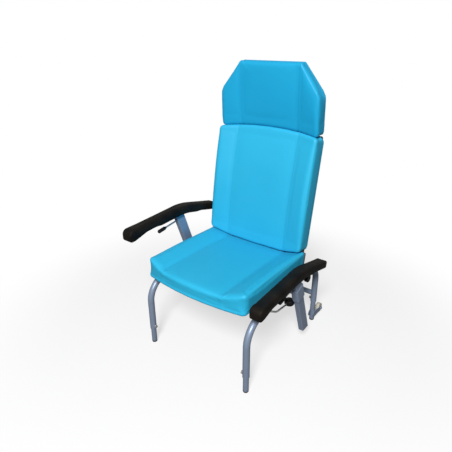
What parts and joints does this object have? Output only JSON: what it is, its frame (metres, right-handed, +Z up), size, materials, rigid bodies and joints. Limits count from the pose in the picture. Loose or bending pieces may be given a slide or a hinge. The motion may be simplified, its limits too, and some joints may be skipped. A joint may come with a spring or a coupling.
{
  "type": "reclining care chair",
  "caption": "Reclining care chair on bent tube legs, with contoured blue cushions, a tilting headrest, sliding armrests, a gas spring with a knob lever, and transport wheels.",
  "frame": {"origin": "on the floor under the middle of the chair's overall box", "axes": "+X to the sitter's left, +Y to the rear, +Z up"},
  "size_m": [0.664, 0.7803, 1.2528],
  "materials": {
    "frame_lacquer": "satin blue-grey lacquer",
    "upholstery": "smooth coated cloth over foam",
    "plywood": "matt plywood",
    "zinc": "zinc plated",
    "black_plastic": "matt black",
    "grey_plastic": "matt blue-grey",
    "pad": "fine-grained black foam skin",
    "foot_rubber": "matt grey-black",
    "chrome": "polished",
    "gas_spring": "satin black lacquer",
    "wheel": "pale grey moulding"
  },
  "bodies": {
    "base_frame": {"side_frame_left": "frame_lacquer", "side_frame_right": "frame_lacquer", "rear_leg_brace": "frame_lacquer", "leg_lock_screws": "zinc", "front_seat_bar": "frame_lacquer", "rear_seat_bar": "frame_lacquer", "seat_board": "plywood", "seat_cushion": "upholstery", "arm_guide_left": "frame_lacquer", "arm_guide_right": "frame_lacquer", "arm_guide_liners": "grey_plastic", "arm_stop_screws": "zinc", "pivot_bolts": "zinc", "pivot_caps": "black_plastic", "gas_spring_bracket": "frame_lacquer", "gas_spring_front_pin": "zinc", "lever_bearings": "frame_lacquer"},
    "backrest": {"back_upright_left": "frame_lacquer", "back_upright_right": "frame_lacquer", "back_lower_tube": "frame_lacquer", "back_upper_tube": "frame_lacquer", "back_hinge_plates": "frame_lacquer", "back_pivot_bushes": "black_plastic", "back_board": "plywood", "back_cushion": "upholstery", "gas_spring_lug": "frame_lacquer", "gas_spring_rear_pin": "zinc", "headrest_hinges": "black_plastic"},
    "headrest": {"headrest_cushion": "upholstery", "headrest_board": "plywood", "headrest_arms": "frame_lacquer", "headrest_hinge_pins": "zinc"},
    "recline_control": {"recline_lever": "chrome", "recline_knob": "black_plastic"},
    "gas_spring_inner": {"gas_spring_rod": "chrome", "gas_spring_head": "gas_spring"},
    "gas_spring_outer": {"gas_spring_cylinder": "gas_spring"},
    "left_arm": {"arm_upright_left": "frame_lacquer", "arm_plug_left": "black_plastic", "armrest_pad_left": "pad"},
    "left_arm_release": {"arm_lever_left": "chrome", "arm_lever_grip_left": "black_plastic"},
    "left_front_foot": {"front_foot_tube_left": "frame_lacquer", "front_foot_tip_left": "foot_rubber"},
    "left_rear_foot": {"rear_foot_tube_left": "frame_lacquer", "rear_foot_tip_left": "foot_rubber", "wheel_bracket_left": "frame_lacquer"},
    "left_wheel": {"wheel_left": "wheel"},
    "right_arm": {"arm_upright_right": "frame_lacquer", "arm_plug_right": "black_plastic", "armrest_pad_right": "pad"},
    "right_arm_release": {"arm_lever_right": "chrome", "arm_lever_grip_right": "black_plastic"},
    "right_front_foot": {"front_foot_tube_right": "frame_lacquer", "front_foot_tip_right": "foot_rubber"},
    "right_rear_foot": {"rear_foot_tube_right": "frame_lacquer", "rear_foot_tip_right": "foot_rubber", "wheel_bracket_right": "frame_lacquer"},
    "right_wheel": {"wheel_right": "wheel"}
  },
  "joints": [
    {"name": "back_recline", "type": "hinge", "parent": "base_frame", "child": "backrest", "pos_m": [0, 0.144, 0.33], "axis": [-1, 0, 0], "range_deg": [0, 35]},
    {"name": "headrest_tilt", "type": "hinge", "parent": "backrest", "child": "headrest", "pos_m": [0, 0.29387, 0.93507], "axis": [1, 0, 0], "range_deg": [-25, 0]},
    {"name": "recline_release", "type": "hinge", "parent": "base_frame", "child": "recline_control", "pos_m": [0, -0.156, 0.3095], "axis": [1, 0, 0], "range_deg": [0, 8], "stiffness_Nm_per_rad": 4, "springref_deg": -11.46},
    {"name": "gas_swing", "type": "hinge", "parent": "base_frame", "child": "gas_spring_inner", "pos_m": [0, -0.21709, 0.288], "axis": [1, 0, 0], "range_deg": [0, 0.3]},
    {"name": "gas_stroke", "type": "slide", "parent": "gas_spring_inner", "child": "gas_spring_outer", "axis": [0, 0.9973, -0.0735], "range_m": [-0.0425, 0]},
    {"name": "arm_height_left", "type": "slide", "parent": "base_frame", "child": "left_arm", "axis": [0, -0.342, 0.9397], "range_m": [0, 0.189]},
    {"name": "arm_release_left", "type": "hinge", "parent": "left_arm", "child": "left_arm_release", "pos_m": [0.304, 0.0072, 0.3709], "axis": [-1, 0, 0], "range_deg": [0, 8], "stiffness_Nm_per_rad": 1.5, "springref_deg": -17.19},
    {"name": "foot_height_front_left", "type": "slide", "parent": "base_frame", "child": "left_front_foot", "axis": [0, 0, 1], "range_m": [-0.045, 0.045]},
    {"name": "foot_height_rear_left", "type": "slide", "parent": "base_frame", "child": "left_rear_foot", "axis": [0, 0, 1], "range_m": [-0.045, 0.045]},
    {"name": "wheel_spin_left", "type": "hinge", "parent": "left_rear_foot", "child": "left_wheel", "pos_m": [0.267, 0.365, 0.033], "axis": [1, 0, 0], "continuous": true},
    {"name": "arm_height_right", "type": "slide", "parent": "base_frame", "child": "right_arm", "axis": [0, -0.342, 0.9397], "range_m": [-0.189, 0]},
    {"name": "arm_release_right", "type": "hinge", "parent": "right_arm", "child": "right_arm_release", "pos_m": [-0.304, -0.05744, 0.5485], "axis": [-1, 0, 0], "range_deg": [0, 8], "stiffness_Nm_per_rad": 1.5, "springref_deg": -17.19},
    {"name": "foot_height_front_right", "type": "slide", "parent": "base_frame", "child": "right_front_foot", "axis": [0, 0, 1], "range_m": [-0.045, 0.045]},
    {"name": "foot_height_rear_right", "type": "slide", "parent": "base_frame", "child": "right_rear_foot", "axis": [0, 0, 1], "range_m": [-0.045, 0.045]},
    {"name": "wheel_spin_right", "type": "hinge", "parent": "right_rear_foot", "child": "right_wheel", "pos_m": [-0.267, 0.365, 0.033], "axis": [1, 0, 0], "continuous": true}
  ],
  "couplings": [
    {"joint": "gas_swing", "follows": "back_recline", "ratio": 0.00807},
    {"joint": "gas_stroke", "follows": "back_recline", "m_per_rad": -0.06887}
  ]
}
